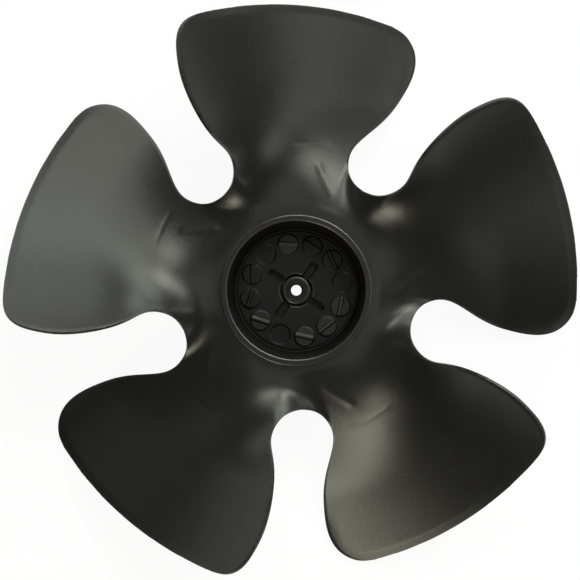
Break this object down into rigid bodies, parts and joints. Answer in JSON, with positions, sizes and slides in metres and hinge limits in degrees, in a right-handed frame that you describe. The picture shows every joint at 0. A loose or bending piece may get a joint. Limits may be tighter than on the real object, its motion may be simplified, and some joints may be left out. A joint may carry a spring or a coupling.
{
  "type": "condenser fan blade",
  "caption": "Axial fan blade for a refrigeration condenser: pressed black sheet with broad cambered blades and a moulded hub cup with a plain shaft bore.",
  "frame": {"origin": "centre of the shaft bore on the face of the boss that seats against the motor, inside the cup", "axes": "+Z along the fan's axis, out of the cup's open mouth; one blade's middle line points along +Y"},
  "size_m": [0.23, 0.2261, 0.0603],
  "materials": {
    "blade_paint": "satin black paint on pressed aluminium",
    "hub_plastic": "moulded black with a low sheen"
  },
  "bodies": {
    "root": {"blade_sheet": "blade_paint", "hub": "hub_plastic"}
  },
  "joints": []
}
